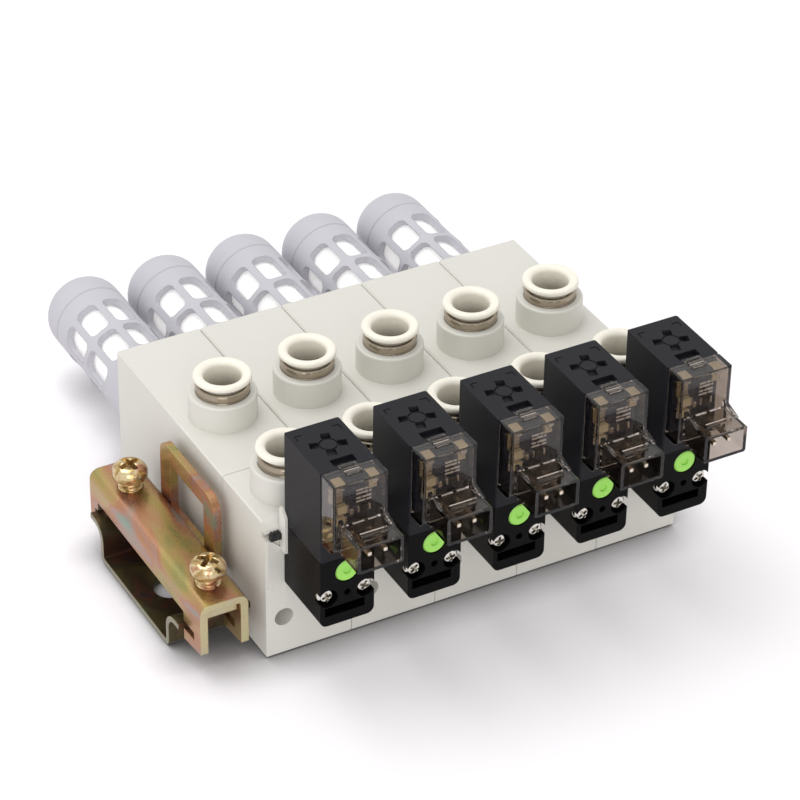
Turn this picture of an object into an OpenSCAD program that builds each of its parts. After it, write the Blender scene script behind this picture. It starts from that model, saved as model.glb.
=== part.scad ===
// Row of vacuum ejectors on a top-hat rail, each with its own pilot valve and silencer.
// The row runs along X, the valves face -Y, the silencers point to +Y and the rail lies underneath.
// The origin is on the underside of the rail, on its centre line and under the middle of the row.

/* [Station row] */
// Number of ejector stations side by side
stations = 5; // [2:1:5]
// Distance from one station to the next
station_pitch = 16; // [15:0.5:22]
// Gap between neighbouring bodies, seen as a hairline
body_gap = 0.1; // [0.06:0.02:0.3]

/* [Ejector body] */
// Length of head and body together
body_len = 57; // [54:0.5:66]
// Height of the body's top face
body_h = 27.4; // [26:0.2:32]
// Depth of the front head, up to the parting line
head_len = 15.5; // [15:0.5:17]
// Gap at the parting line between head and body
parting_gap = 0.1; // [0.06:0.02:0.3]
// Radius of the head's upper front edge
front_edge_r = 2.4; // [1:0.2:3]
// Small bevel along the edges of head and body
edge_bevel = 0.3; // [0.1:0.05:0.5]
// Height of the exhaust gallery's axis
gallery_z = 14.4; // [14:0.2:16]

/* [Push-in fittings] */
// Distance of the supply port from the front face
supply_y = 8.2; // [7.6:0.1:9]
// Distance of the vacuum port from the front face
vacuum_y = 31.5; // [28:0.5:36]
// Outer diameter of the moulded boss
boss_d = 11.8; // [11.4:0.1:13]
// Height of the boss above the top face
boss_h = 5; // [3:0.2:8]
// Outer diameter of the air tube that the fitting takes
tube_d = 6; // [5.6:0.1:6.2]
// Outer diameter of the release ring's flange
ring_d = 10; // [9.4:0.1:10.6]
// Thickness of the release ring's flange
ring_flange = 1.05; // [0.8:0.05:2]
// Height of the ring's top face above the boss
ring_rise = 3.5; // [3:0.1:5]
// How far the release ring can be pressed in
ring_travel = 0.8; // [0.4:0.1:1]
// Outer diameter of the sleeve pressed into the boss
sleeve_d = 9.2; // [9:0.05:9.6]
// Depth of the sleeve below the top of the boss
sleeve_depth = 5.6; // [4.6:0.2:7]

/* [Silencer] */
// Outer diameter of the silencer's cage
silencer_d = 14.4; // [13:0.2:14.8]
// How far the silencer stands out behind the body
silencer_len = 37.6; // [34:0.2:50]
// Wall of the cage
cage_wall = 1.3; // [0.8:0.1:1.6]
// Length of each rounded slot
slot_len = 7.6; // [5:0.1:7.8]
// Width of each rounded slot
slot_w = 4.1; // [2.5:0.1:4.3]
// Distance from one row of slots to the next
slot_row_pitch = 8.8; // [8.2:0.1:9.5]
// Middle of the first row of slots behind the body
slot_first_y = 11.8; // [8:0.2:14]
// Diameter of the stub that goes into the body
stub_d = 9.6; // [9:0.1:10]
// Length of the stub
stub_len = 7; // [5:0.5:8]

/* [Pilot valve] */
// Width of the valve
valve_w = 9.8; // [9:0.1:10.6]
// Depth of the valve's base in front of its gasket
base_depth = 12.6; // [11:0.2:15]
// Bottom of the valve's base
base_z = 14.6; // [14:0.2:16]
// Height of the valve's base
base_h = 13.1; // [12.8:0.1:15]
// Radius of the base's lower corners
base_corner_r = 1.3; // [0.6:0.1:2]
// Height of the coil housing
coil_h = 17.5; // [16.5:0.5:22]
// Gap between base and coil housing, seen as a line
coil_gap = 0.1; // [0.06:0.02:0.3]
// Thickness of the gasket behind the valve
gasket_t = 0.8; // [0.5:0.1:1.2]
// Diameter of the override button
button_d = 4.2; // [3.4:0.1:4.4]
// How far the override button can be pressed in
button_travel = 0.8; // [0.4:0.1:1]

/* [Cover and connector] */
// Depth of the clear cover in front of the coil housing
cover_depth = 4.2; // [3.8:0.1:6]
// Height of the clear cover
cover_h = 13.2; // [12:0.2:16]
// Wall of the clear cover and of its connector shroud
cover_wall = 0.6; // [0.5:0.05:1]
// Width of the connector shroud
shroud_w = 8.2; // [7:0.1:9]
// Height of the connector shroud
shroud_h = 5.2; // [4.6:0.1:6]
// How far the shroud stands out in front of the cover
shroud_len = 6.5; // [4:0.5:10]
// Side of each square connector pin
pin_side = 0.64; // [0.5:0.02:0.8]
// Distance between the two connector pins
pin_pitch = 2.8; // [2:0.1:3.6]
// Gap between the coil housing and the cover
cover_gap = 0.1; // [0.06:0.02:0.3]

/* [Rail] */
// Overall width of the top-hat rail
rail_w = 35; // [34:0.5:36]
// Outer width of the hat
hat_w = 27; // [26:0.5:28]
// Height of the rail
rail_h = 7.5; // [7:0.1:8]
// Sheet thickness of the rail
rail_t = 1; // [0.8:0.1:1.2]
// Distance from the front face to the rail's centre line
rail_y = 23.7; // [23:0.1:25]
// How far the rail stands out at the left
rail_left = 13; // [12.6:0.2:40]
// Length of each slot in the rail
rail_slot_len = 15; // [10:0.5:18]
// Width of each slot in the rail
rail_slot_w = 6.2; // [4.2:0.2:7]
// Distance from one rail slot to the next
rail_slot_pitch = 25; // [25:1:30]

/* [End clamp] */
// Distance of the clamp's outer face from the row
clamp_left = 11.8; // [11.5:0.1:12.4]
// Width of the clamp's channel
clamp_w = 8.8; // [8:0.1:9.2]
// Sheet thickness of the clamp
clamp_t = 1.4; // [1:0.1:1.8]
// Reach of the clamp's front legs beyond the rail's lip
clamp_front_leg = 5.9; // [5.4:0.1:8]
// Reach of the clamp's rear legs beyond the rail's lip
clamp_rear_leg = 2.5; // [2:0.1:4]
// Height of the clamp's top face
clamp_top = 14.5; // [13.6:0.1:17]
// Diameter of the clamp screws' heads
screw_head_d = 6.1; // [5.4:0.1:6.6]
// Diameter of the clamp screws
screw_d = 4.2; // [3.6:0.1:4.6]
// Width of the upright loop
loop_w = 20.6; // [16:0.2:24]
// Height of the loop's top above the rail's underside
loop_top = 24.7; // [20:0.1:30]
// Width of the loop's legs
loop_leg = 3.9; // [3:0.1:4.5]
// Height of the loop's top bar
loop_bar = 3.1; // [2:0.1:4]

/* [Hidden] */
$fn = 48;
over = 0.01;
past = 1;

// Fits and clearances
fit = 0.05;
loose = 0.1;
run = 0.08;
rail_clear = 0.3;

// Row
row_w = stations * station_pitch;
body_w = station_pitch - body_gap;
row_left = -row_w / 2;
front_y = -rail_y;

// Front face of the head
pad_z = base_z - 0.1;
pad_h = 9.8;
pad_t = 0.5;
pad_inset = 0.2;
pad_dip = 2;
groove_z = pad_z + pad_h;
groove_h = 1.3;
groove_deep = 1.4;
front_hole_d = 3.4;
front_hole_z = 7.6;
front_hole_x = 3.3;
front_hole_deep = 4;
cheek_t = 0.5;
cheek_deep = 2.2;
cheek_h = 8.2;
cheek_cut = 1.2;
peg_d = 2.4;
peg_len = 2;
peg_x = 5.2;
peg_z = 23.6;

// Push-in fitting, all heights from the top of the boss
boss_top = body_h + boss_h;
ring_under = ring_rise - ring_flange;
sleeve_top = ring_under - ring_travel - loose / 2;
sleeve_wall = 0.55;
stem_d = sleeve_d - 2 * sleeve_wall - 2 * run;
ring_hole_d = tube_d + 0.4;
ring_lead = 0.5;
grab_t = 0.35;
grab_teeth = 8;
seal_section = 1.1;
seal_seat = 1.5;
tube_seat_d = tube_d + 2 * fit;
tube_seat = 4.8;
stem_len = sleeve_depth + ring_under - ring_travel - grab_t;
seal_od = tube_seat_d + 0.1 + 2 * seal_section;
passage_d = 3.4;
bore_bottom = boss_top - sleeve_depth - grab_t - fit - seal_seat - tube_seat;

// Gallery with nozzle and diffuser
nozzle_d = 5.8;
nozzle_len = 9;
diffuser_d = 6.6;
diffuser_len = 14;
stub_end = body_len - stub_len;
diffuser_y = stub_end - diffuser_len - loose;
nozzle_y = head_len + parting_gap + loose;
jet_d = 1;
throat_d = 1.6;

// Silencer
dome_len = 5.8;
slot_corner = 1.2;
cage_id = silencer_d - 2 * cage_wall;
element_d = cage_id - 0.6;
element_wall = 2;
cap_seam_y = silencer_len - dome_len - 3.4;
element_end = cap_seam_y + 2;
seam_w = 0.4;
// How far each silencer's slots are turned from the top when it is screwed home
silencer_turn = [15, 9, 0, 6, 12];

// Valve, with y counted forwards from the front face
valve_rear = gasket_t;
base_front = valve_rear + base_depth;
base_top = base_z + base_h;
coil_z = base_top + coil_gap;
coil_top = coil_z + coil_h;
coil_front = base_front + 0.2;
screw_x = 3.4;
screw_up = 5.5;
screw_z = base_z + screw_up;
valve_screw_head_d = 3;
valve_screw_head_h = 1.2;
valve_screw_d = 1.6;
valve_screw_sink = 1.8;
notch_d = valve_screw_head_d + 0.4;
screw_grip = 4;
button_up = 10.1;
button_z = base_z + button_up;
button_len = 2.6;
button_pin_d = 1.4;
button_pin_len = 3;
dimple_d = 1.4;
dimple_deep = 0.3;
base_slot_w = 7.2;
base_slot_x = -0.45;
base_slot_h = 1.7;
base_slot_up = 1.95;
base_slot_z = base_z + base_slot_up;
base_slot_deep = 5;
test_hole_d = 1.2;
test_hole_deep = 1.5;
test_hole_z = screw_z + 0.3;

// Marks in the coil housing's top
hub_in = 6;
hub_r = 1.6;
hub_line = 0.25;
pocket_r = 2.4;
pocket_len = 1.4;
pocket_w = 1.6;
pocket_deep = 0.7;

// Cover and connector
cover_rear = coil_front + cover_gap;
cover_front = cover_rear + cover_depth;
cover_z = coil_top - cover_h;
shroud_z = cover_z + 0.5;
shroud_front = cover_front + shroud_len;
tongue_w = 3.2;
tongue_len = 1;
tongue_t = 0.6;
gusset_len = 4;
gusset_h = 1.2;
gusset_t = 0.7;
rib_pitch = 1;
rib_w = 2.8;
board_t = 0.8;
board_gap = 0.1;
board_h = cover_h - 2 * cover_wall - 0.4;
board_w = valve_w - 2 * cover_wall - 0.4;
pin_z = shroud_z + shroud_h / 2;
pin_back = cover_rear + board_gap + board_t;
pin_hole_len = 3;
pin_tip = shroud_front - 1;

// Rail and clamp
rail_right = row_w - 0.4;
rail_bend = 1.4;
lip_bend = 3.4;
slot_from_end = 3.7;
hat_half = hat_w / 2;
lip_half = rail_w / 2;
clamp_y0 = rail_y - lip_half - clamp_front_leg;
clamp_y1 = rail_y + lip_half + clamp_rear_leg;
clamp_leg_z = 4.8;
clamp_heel_z = 4;
clamp_bridge_z = rail_h + 2.1;
clamp_bend = 1.8;
lip_slot_deep = 3.4;
rear_slot_deep = 0.7;
plate_gap = 0.6;
plate_t = 1.3;
plate_z = clamp_top - clamp_t - plate_gap - plate_t;
plate_w = clamp_w - 2 * clamp_t - 0.4;
plate_ends = lip_half - 2.9;
plate_inset = 1;
screw_front_y = 5.9;
screw_rear_y = 7.3;
screw_rise = 2;
screw_head_h = 2.6;
screw_tip = 1.2;
loop_front_y = 12.7;
loop_foot_z = rail_h + 1.4;
loop_corner = 3;
loop_rear_corner = 2.2;

// Points on an arc around a centre, from one angle to another
function arc(cx, cy, r, from, to, steps = 6) =
    [for (i = [0:steps]) let (a = from + (to - from) * i / steps) [cx + r * cos(a), cy + r * sin(a)]];

// Name of a station's node
function nth(name, k) = str(name, "_", k);

STATION_NODES = [for (k = [1:stations], name = ["ejector_body", "valve_head", "coil_housing", "valve_base",
    "smoke_cover", "override_button", "vacuum_ring", "supply_ring", "silencer_cage"]) nth(name, k)];

// Places a piece drawn around its own station: x from the station's middle, y from the front face
module station(k) {
    translate([row_left + (k - 0.5) * station_pitch, front_y, 0]) children();
}

// One copy on every station
module every_station() {
    for (k = [1:stations]) station(k) children();
}

// A drawing in Y and Z, extruded across the width
module across(w) {
    rotate([90, 0, 90]) translate([0, 0, -w / 2]) linear_extrude(w) children();
}

// A drawing in X and Z, extruded from one y to another
module along(y0, y1) {
    translate([0, y1, 0]) rotate([90, 0, 0]) linear_extrude(y1 - y0) children();
}

// A turned piece whose axis points to +Y
module turned_y(z) {
    translate([0, 0, z]) rotate([-90, 0, 0]) rotate_extrude() children();
}

// Rectangle with its four corners cut off
module bevelled(w, h, c) {
    polygon([[-w / 2 + c, 0], [w / 2 - c, 0], [w / 2, c], [w / 2, h - c],
             [w / 2 - c, h], [-w / 2 + c, h], [-w / 2, h - c], [-w / 2, c]]);
}

// Long hole with round ends, lying along the drawing's x
module long_hole(l, w) {
    square([l - w, w], center = true);
    translate([-(l - w) / 2, 0]) circle(d = w);
    translate([(l - w) / 2, 0]) circle(d = w);
}

// Rectangle with rounded corners, lying along the drawing's x
module rounded(l, w, r) {
    square([l - 2 * r, w], center = true);
    square([l, w - 2 * r], center = true);
    for (x = [-1, 1], y = [-1, 1]) translate([x * (l / 2 - r), y * (w / 2 - r)]) circle(r = r);
}

// Half of a flattened dome in XY, drawn from one angle to another
function dome(r, height, base, from, to) =
    [for (p = arc(0, 0, 1, from, to, 12)) [p[0] * r, base + p[1] * height]];

// Channel under head and body that clears the rail
module rail_channel() {
    across(station_pitch + past) translate([rail_y, 0]) {
        a = hat_half + rail_clear;
        b = hat_half + lip_bend - rail_t;
        c = lip_half + rail_clear;
        low = rail_h - rail_t - rail_clear;
        high = rail_h + rail_clear;
        polygon([[-a, -past], [-a, rail_h - lip_bend], [-b, low], [-c, low], [-c, high],
                 [c, high], [c, low], [b, low], [a, rail_h - lip_bend], [a, -past]]);
    }
}

// Bore of a push-in fitting, down to the air passage
module fitting_bore(y) {
    translate([0, y, 0]) {
        translate([0, 0, boss_top - sleeve_depth - grab_t - fit])
            cylinder(d = sleeve_d + 2 * fit, h = sleeve_depth + grab_t + fit + past);
        translate([0, 0, bore_bottom + tube_seat]) cylinder(d = seal_od + 2 * fit, h = seal_seat + over);
        translate([0, 0, bore_bottom]) cylinder(d = tube_seat_d, h = tube_seat + over);
    }
}

// Moulded boss around a fitting, with a rounded rim
module boss(y) {
    translate([0, y, body_h - 2]) rotate_extrude() polygon(concat([[0, 0], [boss_d / 2, 0]],
        arc(boss_d / 2 - 0.4, boss_h + 1.6, 0.4, 0, 90, 4), [[0, boss_h + 2]]));
}

// Front pad of the head, lower in the middle where the valve's gasket shows
module front_pad() {
    w = body_w / 2 - pad_inset;
    dip_x = valve_w / 2 + 0.2;
    along(-pad_t, over) polygon([[-w, pad_z], [w, pad_z], [w, pad_z + pad_h], [dip_x + pad_dip, pad_z + pad_h],
        [dip_x, pad_z + pad_h - pad_dip], [-dip_x, pad_z + pad_h - pad_dip],
        [-dip_x - pad_dip, pad_z + pad_h], [-w, pad_z + pad_h]]);
}

// Cheek that holds the valve from one side
module cheek(side) {
    x = valve_w / 2 + 0.05;
    z = groove_z - 2;
    translate([side > 0 ? x : -x - cheek_t, 0, 0]) rotate([90, 0, 90]) linear_extrude(cheek_t)
        polygon([[1, z], [-cheek_deep, z], [-cheek_deep, z + cheek_h - cheek_cut],
                 [-cheek_deep + cheek_cut, z + cheek_h], [-0.1, z + cheek_h],
                 [-0.1, body_h - front_edge_r / 2], [0.6, body_h - front_edge_r / 2 - 0.2]]);
}

module valve_head(k) {
    color("#cfcdc5") station(k) difference() {
        union() {
            intersection() {
                across(body_w) polygon(concat([[edge_bevel, 0], [0, edge_bevel]],
                    arc(front_edge_r, body_h - front_edge_r, front_edge_r, 180, 90),
                    [[head_len, body_h], [head_len, 0]]));
                along(-past, head_len + past) bevelled(body_w, body_h, edge_bevel);
            }
            boss(supply_y);
            front_pad();
            cheek(-1);
            cheek(1);
            for (s = [-1, 1]) translate([s * peg_x, head_len - over, peg_z])
                rotate([-90, 0, 0]) cylinder(d = peg_d, h = peg_len);
        }
        fitting_bore(supply_y);
        rail_channel();
        // groove right across the front, above the pad
        translate([-body_w, -past, groove_z]) cube([2 * body_w, past + groove_deep, groove_h]);
        // stepped locating hole low in the front face
        translate([-body_w / 2 + front_hole_x, -past, front_hole_z]) rotate([-90, 0, 0]) {
            cylinder(d = front_hole_d, h = past + front_hole_deep);
            cylinder(d = front_hole_d - 1, h = past + front_hole_deep + 1.2);
        }
        // air from the supply port to the valve, and from the valve to the ejector
        translate([0, supply_y, gallery_z + 1]) cylinder(d = passage_d, h = bore_bottom - gallery_z);
        translate([0, -past, gallery_z + 2.4]) rotate([-90, 0, 0])
            cylinder(d = 1.8, h = past + head_len + past);
        for (s = [-1, 1]) translate([s * screw_x, -past, screw_z])
            rotate([-90, 0, 0]) cylinder(d = valve_screw_d + 2 * fit, h = past + screw_grip + 0.5);
    }
}

module ejector_body(k) {
    y0 = head_len + parting_gap;
    color("#d6d5ce") station(k) difference() {
        union() {
            along(y0, body_len) bevelled(body_w, body_h, edge_bevel);
            boss(vacuum_y);
        }
        fitting_bore(vacuum_y);
        rail_channel();
        // stepped gallery for nozzle, diffuser and silencer
        translate([0, y0 - past, gallery_z]) rotate([-90, 0, 0]) {
            cylinder(d = nozzle_d + 2 * fit, h = past + body_len - y0 - over);
            translate([0, 0, past + diffuser_y - y0]) cylinder(d = diffuser_d + 2 * fit, h = body_len);
            translate([0, 0, past + stub_end - y0]) cylinder(d = stub_d + 2 * fit, h = body_len);
        }
        translate([0, vacuum_y, gallery_z]) cylinder(d = passage_d, h = bore_bottom - gallery_z + over);
        for (s = [-1, 1]) translate([s * peg_x, y0 - past, peg_z])
            rotate([-90, 0, 0]) cylinder(d = peg_d + 2 * fit, h = past + peg_len + 0.3);
    }
}

// Release ring, pressed down to free the tube
module release_ring(y) {
    translate([0, y, boss_top]) rotate_extrude() polygon(concat(
        [[ring_hole_d / 2, -stem_len + ring_under], [stem_d / 2, -stem_len + ring_under],
         [stem_d / 2, ring_under]],
        arc(ring_d / 2 - 0.3, ring_under + 0.3, 0.3, -90, 0, 4),
        arc(ring_d / 2 - 0.5, ring_rise - 0.5, 0.5, 0, 90, 5),
        [[ring_hole_d / 2 + ring_lead, ring_rise], [ring_hole_d / 2, ring_rise - 1.4]]));
}

module vacuum_ring(k) {
    color("#fbf8ec") station(k) release_ring(vacuum_y);
}

module supply_ring(k) {
    color("#fbf8ec") station(k) release_ring(supply_y);
}

// Nickel-plated sleeve, a smooth band above the boss
module sleeve(y) {
    r = sleeve_d / 2;
    ri = r - sleeve_wall;
    translate([0, y, boss_top]) rotate_extrude() polygon([[ri, -sleeve_depth], [r, -sleeve_depth],
        [r, 0.05], [r - 0.12, 0.2], [r + 0.05, 0.35], [r + 0.05, sleeve_top - 0.25],
        [r - 0.2, sleeve_top], [ri, sleeve_top]]);
}

module fitting_sleeves() {
    color("#b9b3a6") every_station() for (y = [supply_y, vacuum_y]) sleeve(y);
}

// Spring-steel ring whose teeth bite the tube
module grab_rings() {
    color("#9a9a98") every_station() for (y = [supply_y, vacuum_y])
        translate([0, y, boss_top - sleeve_depth - grab_t]) difference() {
            cylinder(d = sleeve_d - 0.2, h = grab_t - fit);
            translate([0, 0, -past]) cylinder(d = tube_d + 0.3, h = grab_t + 2 * past);
            for (i = [0:grab_teeth / 2 - 1]) rotate(i * 360 / grab_teeth)
                cube([tube_d + 1.6, 0.4, 4], center = true);
        }
}

// Seal that closes around the tube
module tube_seals() {
    color("#262626") every_station() for (y = [supply_y, vacuum_y])
        translate([0, y, bore_bottom + tube_seat + seal_section / 2 + fit]) rotate_extrude()
            translate([seal_od / 2 - seal_section / 2, 0]) circle(d = seal_section, $fn = 24);
}

// Silencer cage: slotted barrel with a domed end and a stub for the body
module silencer_cage(k) {
    r = silencer_d / 2;
    ri = cage_id / 2;
    barrel_end = silencer_len - dome_len;
    color("#c4c5cc") station(k) translate([0, body_len, 0]) difference() {
        turned_y(gallery_z) polygon(concat([[2.4, -stub_len], [stub_d / 2 - 0.4, -stub_len],
            [stub_d / 2, -stub_len + 0.4], [stub_d / 2, fit], [r - 0.5, fit], [r, 0.5],
            [r, cap_seam_y], [r - 0.25, cap_seam_y + seam_w / 2],
            [r, cap_seam_y + seam_w]], dome(r, dome_len, barrel_end, 0, 90),
            dome(ri, dome_len - cage_wall, barrel_end, 90, 0), [[ri, 3], [2.4, 3]]));
        for (row = [0, 1], i = [0:3])
            translate([0, slot_first_y + row * slot_row_pitch, gallery_z])
                rotate([0, i * 45 + silencer_turn[k - 1], 0]) linear_extrude(2 * silencer_d, center = true)
                    rotate(90) rounded(slot_len, slot_w, slot_corner);
    }
}

// White porous element inside each cage
module silencer_elements() {
    r = element_d / 2;
    color("#f4f4f2") every_station() translate([0, body_len, 0]) turned_y(gallery_z)
        polygon([[r - element_wall, 3.1], [r, 3.1], [r, element_end], [0, element_end],
                 [0, element_end - element_wall], [r - element_wall, element_end - element_wall]]);
}

// Brass jet that speeds the air up
module nozzles() {
    r = nozzle_d / 2;
    color("#c9a24a") every_station() translate([0, nozzle_y, 0]) turned_y(gallery_z)
        polygon([[1.5, 0], [r, 0], [r, nozzle_len * 0.6], [1.2, nozzle_len], [jet_d / 2, nozzle_len],
                 [jet_d / 2, nozzle_len * 0.75]]);
}

// Brass tube that slows the mixed air down again
module diffusers() {
    r = diffuser_d / 2;
    color("#c9a24a") every_station() translate([0, diffuser_y, 0]) turned_y(gallery_z)
        polygon([[2, 0], [r, 0], [r, diffuser_len], [2.3, diffuser_len], [throat_d / 2, diffuser_len * 0.4],
                 [throat_d / 2, diffuser_len * 0.2]]);
}

// Gasket behind each valve, with a ribbed tab that shows on either side
module valve_gaskets() {
    low = pad_z + pad_h - pad_dip + loose;
    tab_x = valve_w / 2 + 2.4;
    tab_h = groove_h - 2 * loose;
    color("#1c1c1c") every_station() along(-gasket_t, 0) {
        translate([-valve_w / 2 + 0.3, low]) square([valve_w - 0.6, base_top - low - 1]);
        translate([-tab_x, groove_z + loose]) square([2 * tab_x, tab_h]);
        for (s = [-1, 1], i = [0:2]) translate([s * (tab_x - 0.35 - i * 0.6), groove_z + tab_h + loose])
            square([0.35, 0.8], center = true);
    }
}

// Valve base in XZ: square above, round corners below
module base_outline() {
    w = valve_w / 2;
    polygon(concat([[w, base_top], [-w, base_top]],
        arc(-w + base_corner_r, base_z + base_corner_r, base_corner_r, 180, 270),
        arc(w - base_corner_r, base_z + base_corner_r, base_corner_r, 270, 360)));
}

module valve_base(k) {
    color("#232123") station(k) difference() {
        along(-base_front, -valve_rear) base_outline();
        // pocket in the lower front
        translate([base_slot_x - base_slot_w / 2, -base_front - past, base_slot_z])
            cube([base_slot_w, past + base_slot_deep, base_slot_h]);
        // corner notches and holes for the two fixing screws
        for (s = [-1, 1]) translate([s * screw_x, 0, screw_z]) rotate([90, 0, 0]) {
            translate([0, 0, base_front - valve_screw_sink]) cylinder(d = notch_d, h = valve_screw_sink + past);
            cylinder(d = valve_screw_d + 2 * fit, h = base_front + past);
        }
        // bore of the override button and its pin
        translate([0, 0, button_z]) rotate([90, 0, 0]) {
            translate([0, 0, base_front - button_len - button_travel - loose])
                cylinder(d = button_d + 2 * run, h = button_len + button_travel + loose + past);
            translate([0, 0, base_front - button_len - button_pin_len - button_travel - loose])
                cylinder(d = button_pin_d + 2 * run, h = button_len + button_pin_len);
        }
        // small test hole between the screws
        translate([0, -base_front - past, test_hole_z]) rotate([-90, 0, 0])
            cylinder(d = test_hole_d, h = past + test_hole_deep);
    }
}

module override_button(k) {
    r = button_d / 2;
    color("#8fd45c") station(k) translate([0, -base_front, button_z]) rotate([90, 0, 0]) rotate_extrude()
        polygon([[0, -button_len - button_pin_len], [button_pin_d / 2, -button_len - button_pin_len],
            [button_pin_d / 2, -button_len], [r, -button_len], [r, -0.25], [r - 0.25, 0],
            [dimple_d / 2, 0], [dimple_d / 2 - 0.1, -dimple_deep], [0, -dimple_deep]]);
}

// Pan-head screw with a cross recess, its head's underside at the origin and its tip along -Z
module pan_screw(head_d, head_h, d, l) {
    difference() {
        union() {
            rotate_extrude() polygon(concat([[0, 0], [head_d / 2, 0], [head_d / 2, head_h * 0.4]],
                arc(head_d / 2 - head_h * 0.6, head_h * 0.4, head_h * 0.6, 0, 90), [[0, head_h]]));
            translate([0, 0, -l]) cylinder(d = d, h = l + over);
        }
        for (a = [0, 90]) rotate(a) translate([-head_d * 0.3, -head_d * 0.07, head_h * 0.5])
            cube([head_d * 0.6, head_d * 0.14, head_h]);
    }
}

module valve_screws() {
    color("#c8c6c0") every_station() for (s = [-1, 1])
        translate([s * screw_x, -base_front + valve_screw_sink, screw_z]) rotate([90, 0, 0]) rotate(s * 20 + 30)
            pan_screw(valve_screw_head_d, valve_screw_head_h, valve_screw_d,
                      base_front - valve_screw_sink + screw_grip);
}

// Coil housing with the moulded pockets in its top
module coil_housing(k) {
    depth = coil_front - valve_rear;
    hub_y = -valve_rear - hub_in;
    color("#37373c") station(k) difference() {
        translate([0, -coil_front, coil_z]) linear_extrude(coil_h) bevelled(valve_w, depth, 0.25);
        translate([0, hub_y, coil_top - hub_line]) linear_extrude(past) difference() {
            circle(r = hub_r);
            circle(r = hub_r - hub_line);
        }
        // wedge pockets around the hub
        for (a = [75, 165, 255, 345]) translate([0, hub_y, coil_top]) rotate(a) translate([pocket_r, 0, 0])
            rotate([0, 20, 0]) translate([-0.75, -pocket_w / 2, -pocket_deep]) cube([pocket_len, pocket_w, 2]);
        // long pocket behind the cover's tongue
        translate([-2, -coil_front + 1, coil_top - 0.9]) cube([4.1, 1.8, past + 1]);
        translate([-tongue_w / 2 - fit, -coil_front - past, coil_top - tongue_t - fit])
            cube([tongue_w + 2 * fit, past + tongue_len + fit, past + 1]);
        // corner marks
        for (s = [-1, 1]) translate([s * 3.3, -valve_rear - 2, coil_top - 0.15]) {
            translate([-0.6, 0, 0]) cube([1.2, 0.25, past]);
            translate([s * 0.6 - 0.12, -1.1, 0]) cube([0.25, 1.2, past]);
        }
    }
}

// Clear cover: an open-backed shell with the connector's shroud on its front
module smoke_cover(k) {
    w = valve_w;
    t = cover_wall;
    color([0.35, 0.3, 0.26, 0.55]) station(k) difference() {
        union() {
            intersection() {
                translate([0, -cover_front, cover_z]) linear_extrude(cover_h) bevelled(w, cover_depth, 0.25);
                across(w + past) polygon(concat([[-cover_rear, cover_z], [-cover_rear, coil_top]],
                    arc(-cover_front + 0.5, coil_top - 0.5, 0.5, 90, 180, 4),
                    arc(-cover_front + 1.2, cover_z + 1.2, 1.2, 180, 270, 4)));
            }
            // latch tongue and its ribs
            translate([-tongue_w / 2, -cover_rear - over, coil_top - tongue_t])
                cube([tongue_w, tongue_len + cover_gap, tongue_t]);
            for (i = [0:2]) translate([-rib_w / 2, -cover_rear - 1.9 + i * rib_pitch, coil_top - over])
                cube([rib_w, 0.45, 0.3]);
            // shroud and the latch ridge on top of it
            along(-shroud_front, -cover_front + over) translate([0, shroud_z])
                bevelled(shroud_w, shroud_h, 0.3);
            translate([-2.4, -cover_front - 4.4, shroud_z + shroud_h - over]) cube([4.8, 0.6, 0.55]);
            for (s = [-1, 1])
                translate([s * (shroud_w - gusset_t) / 2, -cover_front, shroud_z + shroud_h - over]) across(gusset_t)
                    polygon([[over, 0], [over, gusset_h], [-gusset_len, 0]]);
        }
        // hollow behind the front wall
        translate([-w / 2 + t, -cover_front + t, cover_z + t]) cube([w - 2 * t, cover_depth, cover_h - 2 * t]);
        // socket of the connector
        translate([-shroud_w / 2 + t, -shroud_front - past, shroud_z + t])
            cube([shroud_w - 2 * t, past + shroud_len - 0.2, shroud_h - 2 * t]);
        for (s = [-1, 1]) translate([s * pin_pitch / 2, -cover_front - past + pin_hole_len / 2, pin_z])
            cube([pin_side + 2 * fit, pin_hole_len, pin_side + 2 * fit], center = true);
    }
}

module connector_pins() {
    color("#d8d2c4") every_station() for (s = [-1, 1])
        translate([s * pin_pitch / 2, -pin_tip, pin_z]) rotate([-90, 0, 0])
            translate([-pin_side / 2, -pin_side / 2, 0]) cube([pin_side, pin_side, pin_tip - pin_back - fit]);
}

// Circuit board with its parts, seen through the cover
module circuit_boards() {
    z0 = cover_z + cover_wall + 0.2;
    face = -cover_rear - board_gap - board_t;
    // each part: x, height above the board's lower edge, width, height, thickness
    parts = [[-2.8, 10.2, 2, 1.6, 1.6], [2.8, 10.2, 2, 1.6, 1.6], [-2.5, 7.6, 2.6, 1.8, 1.2],
             [1.6, 7.4, 3.2, 3, 0.9], [-2.6, 5, 2.2, 1.6, 1], [1.2, 4.6, 1.4, 0.9, 0.6]];
    color("#23305a") every_station() {
        translate([-board_w / 2, face, z0]) cube([board_w, board_t, board_h]);
        for (p = parts) translate([p[0] - p[2] / 2, face - p[4], z0 + p[1] - p[3] / 2 + 0.2])
            cube([p[2], p[4] + over, p[3]]);
    }
}

// Half of the rail's section, from its middle out to the lip and back
function rail_half(t) = concat(
    arc(hat_half - rail_bend, rail_bend, rail_bend - t, 270, 360, 4),
    arc(hat_half + lip_bend - t, rail_h - lip_bend, lip_bend, 180, 90, 8),
    [[lip_half, rail_h], [lip_half, rail_h - t]],
    arc(hat_half + lip_bend - t, rail_h - lip_bend, lip_bend - t, 90, 180, 8),
    arc(hat_half - rail_bend, rail_bend, rail_bend, 360, 270, 4));

// The same points on the other side, in the opposite order
function mirrored(points) = [for (i = [len(points) - 1:-1:0]) [-points[i][0], points[i][1]]];

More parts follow.
